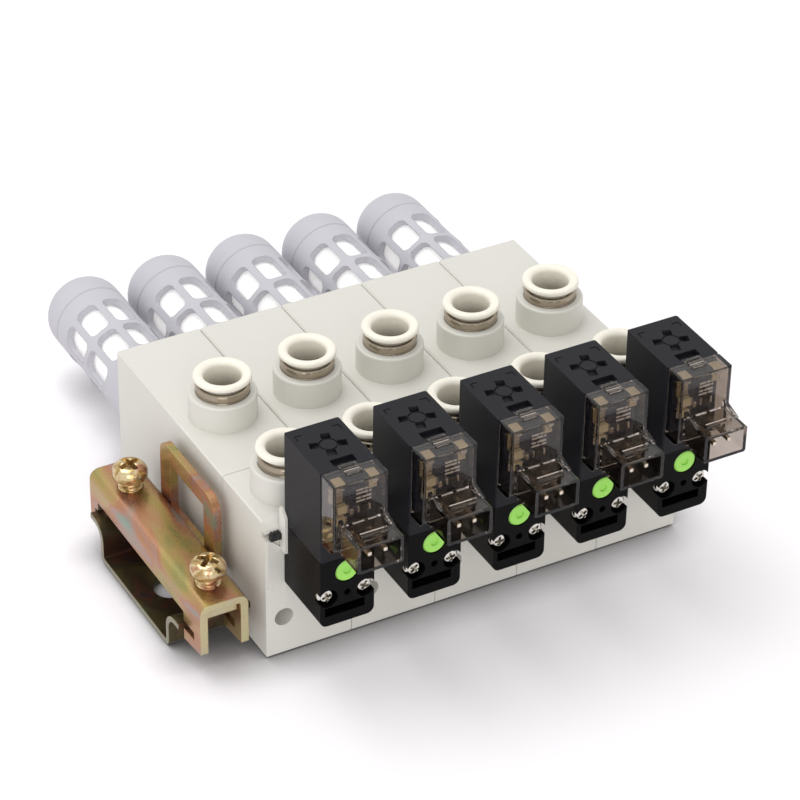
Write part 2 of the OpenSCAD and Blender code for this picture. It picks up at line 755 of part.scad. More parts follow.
module din_rail() {
    len = rail_left + rail_right;
    half = rail_half(rail_t);
    first = row_left - rail_left + slot_from_end + rail_slot_len / 2;
    color("#a8905c") difference() {
        translate([row_left - rail_left + len / 2, 0, 0]) across(len) polygon(concat(half, mirrored(half)));
        for (x = [first:rail_slot_pitch:row_left + rail_right - rail_slot_len / 2 - 1])
            translate([x, 0, -past]) linear_extrude(rail_t + 2 * past) long_hole(rail_slot_len, rail_slot_w);
    }
}

// Places a piece of the clamp: x from the channel's middle, y from the front face
module at_clamp() {
    translate([row_left - clamp_left + clamp_w / 2, front_y, 0]) children();
}

// Side view of the channel: legs that hook under the rail's lips
module clamp_side() {
    front_lip = rail_y - lip_half;
    rear_lip = rail_y + lip_half;
    difference() {
        polygon([[clamp_y0, clamp_leg_z], [front_lip + 0.5, clamp_heel_z], [front_lip + 0.5, clamp_bridge_z],
            [rear_lip - 0.5, clamp_bridge_z], [rear_lip - 0.5, clamp_heel_z], [clamp_y1, clamp_leg_z],
            [clamp_y1, clamp_top], [clamp_y0, clamp_top]]);
        translate([front_lip - lip_slot_deep, rail_h - rail_t - rail_clear])
            square([lip_slot_deep + past, rail_t + 2 * rail_clear]);
        translate([rear_lip - past, rail_h - rail_t - rail_clear])
            square([rear_slot_deep + past, rail_t + 2 * rail_clear]);
    }
}

module clamp_channel() {
    r = clamp_bend;
    t = clamp_t;
    w = clamp_w / 2;
    color("#c2a468") at_clamp() difference() {
        intersection() {
            along(clamp_y0, clamp_y1) polygon(concat([[-w, 0]], arc(-w + r, clamp_top - r, r, 180, 90),
                arc(w - r, clamp_top - r, r, 90, 0), [[w, 0], [w - t, 0]],
                arc(w - r, clamp_top - r, r - t, 0, 90), arc(-w + r, clamp_top - r, r - t, 90, 180),
                [[-w + t, 0]]));
            across(clamp_w + past) clamp_side();
        }
        for (y = [clamp_y0 + screw_front_y, clamp_y1 - screw_rear_y])
            translate([0, y, clamp_top - 3]) cylinder(d = screw_d + 0.2, h = 4);
    }
}

// Bridge inside the channel that the screws pull against the rail
module clamp_plate() {
    foot_z = rail_h + 0.1;
    color("#b07a50") at_clamp() difference() {
        across(plate_w) polygon([
            [clamp_y0 + plate_inset, plate_z], [clamp_y0 + plate_inset, plate_z + plate_t],
            [clamp_y1 - plate_inset, plate_z + plate_t], [clamp_y1 - plate_inset, plate_z],
            [rail_y + plate_ends + plate_t, plate_z], [rail_y + plate_ends + plate_t, foot_z],
            [rail_y + plate_ends, foot_z], [rail_y + plate_ends, plate_z],
            [rail_y - plate_ends, plate_z], [rail_y - plate_ends, foot_z],
            [rail_y - plate_ends - plate_t, foot_z], [rail_y - plate_ends - plate_t, plate_z]]);
        for (y = [clamp_y0 + screw_front_y, clamp_y1 - screw_rear_y])
            translate([0, y, plate_z - screw_tip - past])
                cylinder(d = screw_d + 2 * fit, h = plate_t + screw_tip + 2 * past);
    }
}

// Upright loop lying against the channel's inner side
module clamp_loop() {
    y0 = loop_front_y + clamp_y0;
    x0 = clamp_w / 2 + fit;
    win_top = loop_top - loop_bar;
    win_low = clamp_top - 2;
    color("#bb9c62") at_clamp() translate([x0, 0, 0]) rotate([90, 0, 90])
        linear_extrude(clamp_t) difference() {
        polygon(concat([[y0, loop_foot_z], [y0 + loop_w, loop_foot_z]],
            arc(y0 + loop_w - loop_rear_corner, loop_top - loop_rear_corner, loop_rear_corner, 0, 90),
            arc(y0 + loop_corner, loop_top - loop_corner, loop_corner, 90, 180)));
        translate([y0 + loop_leg, win_low]) square([loop_w - 2 * loop_leg, win_top - win_low]);
    }
}

module clamp_screws() {
    color("#cdb06a") at_clamp() for (y = [clamp_y0 + screw_front_y, clamp_y1 - screw_rear_y])
        translate([0, y, clamp_top + screw_rise]) rotate(25)
            pan_screw(screw_head_d, screw_head_h, screw_d, clamp_top + screw_rise - plate_z + screw_tip);
}

for (k = [1:stations]) {
    ejector_body(k);
    valve_head(k);
    coil_housing(k);
    valve_base(k);
    smoke_cover(k);
    override_button(k);
    vacuum_ring(k);
    supply_ring(k);
    silencer_cage(k);
}
silencer_elements();
fitting_sleeves();
grab_rings();
tube_seals();
valve_screws();
valve_gaskets();
connector_pins();
circuit_boards();
nozzles();
diffusers();
din_rail();
clamp_channel();
clamp_plate();
clamp_loop();
clamp_screws();
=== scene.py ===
import math

import bmesh
import bpy
from bpy.props import FloatProperty, FloatVectorProperty, IntProperty, PointerProperty
from mathutils import Matrix, Vector


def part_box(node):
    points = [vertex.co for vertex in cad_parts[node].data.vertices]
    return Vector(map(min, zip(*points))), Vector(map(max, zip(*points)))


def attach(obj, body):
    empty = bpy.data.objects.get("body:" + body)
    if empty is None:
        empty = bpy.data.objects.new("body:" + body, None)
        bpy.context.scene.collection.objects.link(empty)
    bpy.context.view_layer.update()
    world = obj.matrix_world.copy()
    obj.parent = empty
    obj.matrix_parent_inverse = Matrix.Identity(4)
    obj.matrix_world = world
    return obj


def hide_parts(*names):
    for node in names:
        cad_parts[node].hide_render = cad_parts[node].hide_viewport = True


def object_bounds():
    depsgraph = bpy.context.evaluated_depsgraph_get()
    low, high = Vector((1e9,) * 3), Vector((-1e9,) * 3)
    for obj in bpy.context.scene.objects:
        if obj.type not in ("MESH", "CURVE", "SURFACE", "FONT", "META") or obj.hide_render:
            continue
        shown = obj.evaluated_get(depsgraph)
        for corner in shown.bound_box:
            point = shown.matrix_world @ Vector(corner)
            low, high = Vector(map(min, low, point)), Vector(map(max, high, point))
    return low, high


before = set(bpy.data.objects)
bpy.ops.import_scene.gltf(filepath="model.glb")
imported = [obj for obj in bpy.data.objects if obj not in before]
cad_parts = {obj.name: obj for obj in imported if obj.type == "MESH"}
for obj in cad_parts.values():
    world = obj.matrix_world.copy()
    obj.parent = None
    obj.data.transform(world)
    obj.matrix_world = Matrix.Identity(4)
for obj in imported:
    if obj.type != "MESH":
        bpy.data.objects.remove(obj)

bl_info = {
    "name": "Vacuum ejector row",
    "version": (1, 0, 0),
    "blender": (4, 5, 0),
    "location": "View3D > Sidebar > Ejectors",
    "description": "Dresses a rail-mounted row of vacuum ejectors and sets up its studio",
    "category": "Object",
}

MM = 0.001
CAD_LOW, CAD_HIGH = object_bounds()
STATIONS = sum(name.startswith("ejector_body_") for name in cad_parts)
ROOT = "frame"

WHITE = (1.0, 1.0, 1.0, 1.0)
BLACK = (0.0, 0.0, 0.0, 1.0)

# Sockets of a Mix node: its factor, then A and B as numbers and as colours, and the two results
FACTOR, NUMBER_A, NUMBER_B, COLOUR_A, COLOUR_B = 0, 2, 3, 6, 7
NUMBER_OUT, COLOUR_OUT = 0, 2

# Most values of a noise texture lie between these two
NOISE_LOW, NOISE_HIGH = 0.3, 0.7
# Samples of the node that rounds edges
EDGE_SAMPLES = 4

# Steps in a quarter turn of a rounded edge
ARC_STEPS = 8


def linear(colour):
    """An sRGB hex colour as linear red, green and blue."""
    parts = [int(colour[i:i + 2], 16) / 255 for i in (1, 3, 5)]
    return tuple(c / 12.92 if c <= 0.04045 else ((c + 0.055) / 1.055) ** 2.4 for c in parts)


def opaque(colour, share=1.0):
    """A linear colour times a share, with full alpha."""
    return tuple(min(1.0, c * share) for c in colour) + (1.0,)


def colour_property(name, description, default):
    """A colour that the user can change, with its default written as an sRGB hex value."""
    return FloatVectorProperty(
        name=name, description=description, subtype="COLOR", size=3, min=0, max=1, default=linear(default))


def length_property(name, description, default_mm, low_mm, high_mm):
    """A length that the user can change, with its default and limits in millimetres."""
    return FloatProperty(
        name=name, description=description, subtype="DISTANCE", unit="LENGTH",
        default=default_mm * MM, min=low_mm * MM, max=high_mm * MM, precision=5)


def power_property(name, description, default):
    """A lamp's power in watts."""
    return FloatProperty(
        name=name, description=description, subtype="POWER", unit="POWER", default=default, min=0, max=50)


# Materials

def add_node(tree, kind, inputs=None, stops=None, **settings):
    """Adds a node with its settings.

    An input takes a value or another node's output, and stops fill a colour ramp.
    """
    node = tree.nodes.new(kind)
    for key, value in settings.items():
        setattr(node, key, value)
    for key, value in (inputs or {}).items():
        if isinstance(value, bpy.types.NodeSocket):
            tree.links.new(value, node.inputs[key])
        else:
            node.inputs[key].default_value = value
    if stops:
        elements = node.color_ramp.elements
        while len(elements) < len(stops):
            elements.new(1.0)
        for element, (place, colour) in zip(elements, stops):
            element.position = place
            element.color = opaque(linear(colour))
    return node


def new_material(name):
    """An empty node material and its tree."""
    found = bpy.data.materials.get(name)
    if found:
        bpy.data.materials.remove(found)
    material = bpy.data.materials.new(name)
    material.use_nodes = True
    material.node_tree.nodes.clear()
    return material, material.node_tree


def per_metre(size_mm):
    """Texture scale that gives one feature each size_mm."""
    return 1 / (size_mm * MM)


def fine_relief(tree, height, depth_mm, edge_mm, smooth, rough):
    """Shader inputs of a face with fine relief and rounded edges, duller where the relief is high."""
    gloss = add_node(tree, "ShaderNodeMapRange", {
        "Value": height, "From Min": NOISE_LOW, "From Max": NOISE_HIGH, "To Min": smooth, "To Max": rough})
    edge = add_node(tree, "ShaderNodeBevel", {"Radius": edge_mm * MM}, samples=EDGE_SAMPLES)
    bump = add_node(tree, "ShaderNodeBump", {
        "Height": height, "Strength": 1.0, "Distance": depth_mm * MM, "Normal": edge.outputs["Normal"]})
    return {"Roughness": gloss.outputs["Result"], "Normal": bump.outputs["Normal"]}


def moulded_plastic(name, colour, grit_mm, depth_mm, roughness, ior, edge_mm, drift=0.04, sheen=0.5):
    """Injection-moulded plastic, and rubber or ceramic from a mould.

    An eroded mould leaves a grit of the given width and depth, flow leaves faint clouds that drift
    from the colour by a share, and edges are a little round. Sheen is the strength of its reflection.
    """
    cloud_mm = 9
    spread = 0.05
    material, tree = new_material(name)
    place = add_node(tree, "ShaderNodeTexCoord").outputs["Object"]
    clouds = add_node(tree, "ShaderNodeTexNoise", {
        "Vector": place, "Scale": per_metre(cloud_mm), "Detail": 3.0})
    tint = add_node(tree, "ShaderNodeMix", {
        FACTOR: clouds.outputs["Fac"], COLOUR_A: opaque(colour, 1 - drift),
        COLOUR_B: opaque(colour, 1 + drift)}, data_type="RGBA")
    grit = add_node(tree, "ShaderNodeTexNoise", {
        "Vector": place, "Scale": per_metre(grit_mm), "Detail": 2.0})
    relief = fine_relief(
        tree, grit.outputs["Fac"], depth_mm, edge_mm, roughness - spread, roughness + spread)
    shader = add_node(tree, "ShaderNodeBsdfPrincipled", {
        "Base Color": tint.outputs[COLOUR_OUT], "IOR": ior, "Specular IOR Level": sheen, **relief})
    add_node(tree, "ShaderNodeOutputMaterial", {"Surface": shader.outputs["BSDF"]})
    return material


def plated_metal(name, colour, roughness, turning_mm, depth_mm, edge_mm):
    """Turned, drawn or stamped metal, bare or under bright plating.

    The tool leaves fine lines across Z, and the metal is faintly stained.
    """
    line_run_mm = 4
    stain_mm = 2.5
    stained = 0.88
    material, tree = new_material(name)
    place = add_node(tree, "ShaderNodeTexCoord").outputs["Object"]
    rings = add_node(tree, "ShaderNodeMapping", {
        "Vector": place,
        "Scale": (per_metre(line_run_mm), per_metre(line_run_mm), per_metre(turning_mm))})
    lines = add_node(tree, "ShaderNodeTexNoise", {
        "Vector": rings.outputs["Vector"], "Scale": 1.0, "Detail": 2.0})
    stain = add_node(tree, "ShaderNodeTexNoise", {
        "Vector": place, "Scale": per_metre(stain_mm), "Detail": 3.0})
    tint = add_node(tree, "ShaderNodeMix", {
        FACTOR: stain.outputs["Fac"], COLOUR_A: opaque(colour, stained), COLOUR_B: opaque(colour)},
        data_type="RGBA")
    relief = fine_relief(tree, lines.outputs["Fac"], depth_mm, edge_mm, roughness * 0.8, roughness * 1.3)
    shader = add_node(tree, "ShaderNodeBsdfPrincipled", {
        "Base Color": tint.outputs[COLOUR_OUT], "Metallic": 1.0, **relief})
    add_node(tree, "ShaderNodeOutputMaterial", {"Surface": shader.outputs["BSDF"]})
    return material


def yellow_zinc(name, film_colours, roughness, drift_mm, stretch, edge_mm, sheared=None):
    """Zinc plate with yellow passivation, a film whose thickness drifts, so straw runs into pink and olive.

    Faces sheared across the given axis take a thinner, paler film. The film dims the metal a little.
    """
    grain_mm, grain_deep_mm, spread = 0.2, 0.001, 0.05
    facing_from, facing_to, pale_share = 0.85, 0.95, 0.65
    film_metallic = 0.85
    material, tree = new_material(name)
    place = add_node(tree, "ShaderNodeTexCoord").outputs["Object"]
    along = add_node(tree, "ShaderNodeMapping", {
        "Vector": place,
        "Scale": (per_metre(drift_mm), per_metre(drift_mm * stretch), per_metre(drift_mm))})
    film = add_node(tree, "ShaderNodeTexNoise", {
        "Vector": along.outputs["Vector"], "Scale": 1.0, "Detail": 2.5, "Roughness": 0.5,
        "Distortion": 0.5})
    ramp = add_node(tree, "ShaderNodeValToRGB", {"Fac": film.outputs["Fac"]}, stops=film_colours)
    colour = ramp.outputs["Color"]
    if sheared:
        axis, pale = sheared
        facing = add_node(tree, "ShaderNodeSeparateXYZ", {
            "Vector": add_node(tree, "ShaderNodeNewGeometry").outputs["True Normal"]})
        side = add_node(tree, "ShaderNodeMath", {0: facing.outputs[axis]}, operation="ABSOLUTE")
        share = add_node(tree, "ShaderNodeMapRange", {
            "Value": side.outputs["Value"], "From Min": facing_from, "From Max": facing_to,
            "To Min": 0.0, "To Max": pale_share})
        mix = add_node(tree, "ShaderNodeMix", {
            FACTOR: share.outputs["Result"], COLOUR_A: colour, COLOUR_B: opaque(linear(pale))},
            data_type="RGBA")
        colour = mix.outputs[COLOUR_OUT]
    grain = add_node(tree, "ShaderNodeTexNoise", {
        "Vector": place, "Scale": per_metre(grain_mm), "Detail": 1.0})
    relief = fine_relief(
        tree, grain.outputs["Fac"], grain_deep_mm, edge_mm, roughness - spread, roughness + spread)
    shader = add_node(tree, "ShaderNodeBsdfPrincipled", {
        "Base Color": colour, "Metallic": film_metallic, **relief})
    add_node(tree, "ShaderNodeOutputMaterial", {"Surface": shader.outputs["BSDF"]})
    return material


def sintered_polyethylene(name, colour):
    """Sintered polyethylene: fused beads that scatter light.

    They are about 0.3 mm wide and drawn at 0.5 mm so that they show. The wall is porous, and a weak
    emission is a painted glow that stands in for the light that comes through it.
    """
    bead_mm, bead_deep_mm = 0.5, 0.06
    # Painted shade: share of the colour left at the seams between beads, the hollows where the pores lie in
    # shade
    pore_shade = 0.86
    # Painted glow: strength of the emission that lifts the white, for light that comes through the wall
    painted_glow = 0.28
    material, tree = new_material(name)
    place = add_node(tree, "ShaderNodeTexCoord").outputs["Object"]
    beads = add_node(tree, "ShaderNodeTexVoronoi", {"Vector": place, "Scale": per_metre(bead_mm)})
    tint = add_node(tree, "ShaderNodeMix", {
        FACTOR: beads.outputs["Distance"], COLOUR_A: opaque(colour), COLOUR_B: opaque(colour, pore_shade)},
        data_type="RGBA")
    bump = add_node(tree, "ShaderNodeBump", {
        "Height": beads.outputs["Distance"], "Strength": 1.0, "Distance": bead_deep_mm * MM}, invert=True)
    shader = add_node(tree, "ShaderNodeBsdfPrincipled", {
        "Base Color": tint.outputs[COLOUR_OUT], "Roughness": 0.85, "IOR": 1.5,
        "Normal": bump.outputs["Normal"], "Emission Color": opaque(colour),
        "Emission Strength": painted_glow})
    add_node(tree, "ShaderNodeOutputMaterial", {"Surface": shader.outputs["BSDF"]})
    return material


def smoke_polycarbonate(name, dye, roughness):
    """Clear polycarbonate with a smoke dye: glossy, and each wall takes some of the light that passes."""
    flow_mm, wave_mm, edge_mm = 5, 0.015, 0.08
    streak = 0.94
    material, tree = new_material(name)
    place = add_node(tree, "ShaderNodeTexCoord").outputs["Object"]
    flow = add_node(tree, "ShaderNodeTexNoise", {
        "Vector": place, "Scale": per_metre(flow_mm), "Detail": 1.0})
    tint = add_node(tree, "ShaderNodeMix", {
        FACTOR: flow.outputs["Fac"], COLOUR_A: opaque(dye, streak), COLOUR_B: opaque(dye)},
        data_type="RGBA")
    edge = add_node(tree, "ShaderNodeBevel", {"Radius": edge_mm * MM}, samples=EDGE_SAMPLES)
    bump = add_node(tree, "ShaderNodeBump", {
        "Height": flow.outputs["Fac"], "Strength": 1.0, "Distance": wave_mm * MM,
        "Normal": edge.outputs["Normal"]})
    wall = add_node(tree, "ShaderNodeBsdfPrincipled", {
        "Base Color": tint.outputs[COLOUR_OUT], "Roughness": roughness, "IOR": 1.45,
        "Transmission Weight": 1.0, "Normal": bump.outputs["Normal"]})
    # Light on its way to a lamp passes two faces of each wall, so each face takes the root of the dye
    open_way = add_node(tree, "ShaderNodeBsdfTransparent", {
        "Color": opaque([math.sqrt(c) for c in dye])})
    path = add_node(tree, "ShaderNodeLightPath")
    both = add_node(tree, "ShaderNodeMixShader", {
        0: path.outputs["Is Shadow Ray"], 1: wall.outputs["BSDF"], 2: open_way.outputs["BSDF"]})
    add_node(tree, "ShaderNodeOutputMaterial", {"Surface": both.outputs["Shader"]})
    return material


def solder_mask(name, colour, copper_mm):
    """Solder mask on a glass-epoxy board: glossy dark lacquer, with the copper's tracks faint beneath it."""
    track_edge, track_core = 0.12, 0.06
    over_copper = 2.2
    step_mm = 0.03
    material, tree = new_material(name)
    place = add_node(tree, "ShaderNodeTexCoord").outputs["Object"]
    tracks = add_node(tree, "ShaderNodeTexVoronoi", {
        "Vector": place, "Scale": per_metre(copper_mm), "Randomness": 0.7},
        feature="DISTANCE_TO_EDGE", distance="CHEBYCHEV")
    copper = add_node(tree, "ShaderNodeMapRange", {
        "Value": tracks.outputs["Distance"], "From Min": track_core, "From Max": track_edge,
        "To Min": 1.0, "To Max": 0.0})
    tint = add_node(tree, "ShaderNodeMix", {
        FACTOR: copper.outputs["Result"], COLOUR_A: opaque(colour), COLOUR_B: opaque(colour, over_copper)},
        data_type="RGBA")
    bump = add_node(tree, "ShaderNodeBump", {
        "Height": copper.outputs["Result"], "Strength": 1.0, "Distance": step_mm * MM})
    shader = add_node(tree, "ShaderNodeBsdfPrincipled", {
        "Base Color": tint.outputs[COLOUR_OUT], "Roughness": 0.3, "IOR": 1.5,
        "Normal": bump.outputs["Normal"]})
    add_node(tree, "ShaderNodeOutputMaterial", {"Surface": shader.outputs["BSDF"]})
    return material


# Meshes

def dress(names, material):
    """Gives CAD nodes their finish."""
    for name in names:
        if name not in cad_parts:
            raise RuntimeError("no such part: " + name)
        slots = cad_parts[name].data.materials
        slots.clear()
        slots.append(material)


def each(name):
    """The names of a part's nodes on all the stations."""
    return ["%s_%d" % (name, k) for k in range(1, STATIONS + 1)]


def middle_x(name):
    """The middle of a node along the row."""
    low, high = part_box(name)
    return (low.x + high.x) / 2


def add_block(bm, low, high, material=0, round_mm=0.0):
    """A block between two corners, with its edges rounded."""
    made = bmesh.ops.create_cube(bm, size=1.0)["verts"]
    size = [high[i] - low[i] for i in range(3)]
    middle = [(high[i] + low[i]) / 2 for i in range(3)]
    bmesh.ops.transform(
        bm, matrix=Matrix.Translation(middle) @ Matrix.Diagonal((*size, 1.0)), verts=made)
    faces = {f for v in made for f in v.link_faces}
    if round_mm:
        edges = list(dict.fromkeys(e for v in made for e in v.link_edges))
        done = bmesh.ops.bevel(
            bm, geom=edges, offset=round_mm * MM, segments=2, profile=0.5, affect="EDGES")
        faces = {f for v in done["verts"] for f in v.link_faces}
    for f in faces:
        f.material_index = material


def add_turned(bm, profile, matrix, segments=48):
    """A profile of (radius, height) in millimetres, turned about the local Z.

    A radius of zero closes an end.
    """
    rings = []
    for r, z in profile:
        if r == 0:
            rings.append([bm.verts.new(matrix @ Vector((0, 0, z * MM)))])
            continue
        turns = [2 * math.pi * i / segments for i in range(segments)]
        rings.append([
            bm.verts.new(matrix @ Vector((r * MM * math.cos(a), r * MM * math.sin(a), z * MM)))
            for a in turns])
    for one, two in zip(rings, rings[1:]):
        for i in range(segments):
            j = (i + 1) % segments
            corners = [one[i % len(one)], one[j % len(one)], two[j % len(two)], two[i % len(two)]]
            face = bm.faces.new(list(dict.fromkeys(corners)))
            face.smooth = True


def add_thread(bm, radius, crest, pitch, low, high, matrix, segments=32):
    """A helical thread: a ridge that winds round a shank and tapers out at both ends.

    Sizes are in millimetres. The ridge's root lies a little inside the shank.
    """
    sunk = 0.03
    root = radius - sunk
    root_half, crest_half = pitch * 0.42, pitch * 0.08
    taper = segments / 2
    steps = int((high - low) / pitch * segments)
    rows = []
    for i in range(steps + 1):
        a = 2 * math.pi * i / segments
        z = low + pitch * i / segments
        tall = root + (crest - root) * min(1.0, i / taper, (steps - i) / taper)
        ridge = ((root, -root_half), (tall, -crest_half), (tall, crest_half), (root, root_half))
        rows.append([
            bm.verts.new(matrix @ Vector((r * MM * math.cos(a), r * MM * math.sin(a), (z + dz) * MM)))
            for r, dz in ridge])
    for one, two in zip(rows, rows[1:]):
        for i in range(4):
            j = (i + 1) % 4
            bm.faces.new([one[i], two[i], two[j], one[j]])
    bm.faces.new(rows[0])
    bm.faces.new(list(reversed(rows[-1])))


def add_copy(bm, mesh, matrix):
    """Adds a mesh at another place."""
    before = len(bm.verts)
    bm.from_mesh(mesh)
    bm.verts.ensure_lookup_table()
    bmesh.ops.transform(bm, matrix=matrix, verts=bm.verts[before:])


def temporary(bm):
    """A closed mesh as an object that is removed again."""
    bmesh.ops.recalc_face_normals(bm, faces=bm.faces)
    mesh = bpy.data.meshes.new("temporary")
    bm.to_mesh(mesh)
    bm.free()
    piece = bpy.data.objects.new("temporary", mesh)
    bpy.context.scene.collection.objects.link(piece)
    return piece


def pan_head(width, tall, crown, segments):
    """A pan head that stands on its underside: straight below, round at the top and slightly domed."""
    r = width / 2
    lower_edge = 0.1
    dome = 0.06 * width
    arc = [math.pi / 2 * i / ARC_STEPS for i in range(1, ARC_STEPS + 1)]
    profile = [(0, 0), (r - lower_edge, 0), (r, lower_edge), (r, tall - crown)]
    profile += [(r - crown + crown * math.cos(a), tall - crown + crown * math.sin(a)) for a in arc]
    profile.append((0, tall + dome))
    bm = bmesh.new()
    add_turned(bm, profile, Matrix(), segments)
    return temporary(bm)


def cross_cutter(length, arm, tall, deep):
    """The tapered cross that cuts a recess of this length, width and depth into a head."""
    above = 0.5
    # Length and width at the floor and above the head, as shares of the given ones
    floor_shares, mouth_shares = (0.45, 0.5), (1.12, 1.1)

    def outline(shares, z):
        """The twelve corners of the cross at one height."""
        a, b = length * shares[0] / 2, arm * shares[1] / 2
        corners = ((a, -b), (a, b), (b, b), (b, a), (-b, a), (-b, b),
                   (-a, b), (-a, -b), (-b, -b), (-b, -a), (b, -a), (b, -b))
        return [bm.verts.new((x * MM, y * MM, z * MM)) for x, y in corners]

    bm = bmesh.new()
    floor = outline(floor_shares, tall - deep)
    mouth = outline(mouth_shares, tall + above)
    for i in range(len(floor)):
        j = (i + 1) % len(floor)
        bm.faces.new((floor[i], floor[j], mouth[j], mouth[i]))
    bm.faces.new(list(reversed(floor)))
    bm.faces.new(mouth)
    return temporary(bm)


def cross_head(width, tall, crown, recess, deep, segments):
    """A pan head with a cross recess, given as (length, width). Sizes in millimetres."""
    head = pan_head(width, tall, crown, segments)
    cutter = cross_cutter(*recess, tall, deep)
    cut = head.modifiers.new("recess", "BOOLEAN")
    cut.operation = "DIFFERENCE"
    cut.object = cutter
    done = bpy.data.meshes.new_from_object(head.evaluated_get(bpy.context.evaluated_depsgraph_get()))
    uncut = len(head.data.polygons)
    for helper in (head, cutter):
        mesh = helper.data
        bpy.data.objects.remove(helper)
        bpy.data.meshes.remove(mesh)
    if len(done.polygons) in (0, uncut):
        raise RuntimeError("the cross recess was not cut")
    return done


def new_piece(name, bm, materials, replaced, body=ROOT):
    """Makes a piece of the object from a mesh, on its CAD body and in place of a CAD node."""
    bmesh.ops.recalc_face_normals(bm, faces=bm.faces)
    mesh = bpy.data.meshes.new(name)
    bm.to_mesh(mesh)
    bm.free()
    piece = bpy.data.objects.new(name, mesh)
    bpy.context.scene.collection.objects.link(piece)
    for material in materials:
        mesh.materials.append(material)
    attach(piece, body)
    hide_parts(replaced)
    return piece


# Settings

class EjectorStageSettings(bpy.types.PropertyGroup):
    """Floor, lamps and camera"""
    floor: colour_property("Floor", "Colour of the floor in full light", "#F3F0F3")
    sky: FloatProperty(
        name="Sky", description="Strength of the even light from all around", default=0.78, min=0, max=2)
    key: power_property("Key lamp", "Power of the overhead softbox", 1.9)
    fill: power_property("Fill lamp", "Power of the softbox in front", 1.4)
    lens: FloatProperty(
        name="Lens", description="Focal length of the camera on a 36 mm sensor", subtype="DISTANCE_CAMERA",
        default=151.12, min=20, max=400)


class EjectorFinishSettings(bpy.types.PropertyGroup):
    """Colours of the plastics and metals"""
    body: colour_property("Body", "Light grey of heads and bodies", "#D6D4CC")
    ring: colour_property("Release ring", "Ivory of the release rings", "#F1ECDE")
    # Painted reflection: this default is darker and browner than nickel, for dark surroundings mirrored
    nickel: colour_property("Nickel", "Nickel plate on the sleeves", "#A89C8B")
    cage: colour_property("Silencer", "Cool grey of the silencer cages", "#BFBEC4")
    element: colour_property("Element", "White of the porous elements", "#FAF9F8")
    coil: colour_property("Coil housing", "Charcoal of the coil housings", "#1C1C21")
    base: colour_property("Valve base", "Near-black of the valve bases", "#060506")
    button: colour_property("Override button", "Green of the override buttons", "#97D858")
    smoke: colour_property("Cover", "Smoke dye of the clear covers", "#C2B8AE")
    board: colour_property("Circuit board", "Dark blue of the solder mask", "#1B2136")
    brass: colour_property("Brass", "Turned brass of the jets", "#C9A24A")


class EjectorDetailSettings(bpy.types.PropertyGroup):
    """Sizes of the small details"""
    edge: length_property("Edge radius", "Radius of the moulded edges", 0.15, 0.02, 0.5)
    thread_pitch: length_property("Thread pitch", "Pitch of the clamp screws' thread", 0.7, 0.3, 1.2)
    head_segments: IntProperty(
        name="Screw segments", description="Segments round each screw head", default=48, min=16, max=96)


# Operators

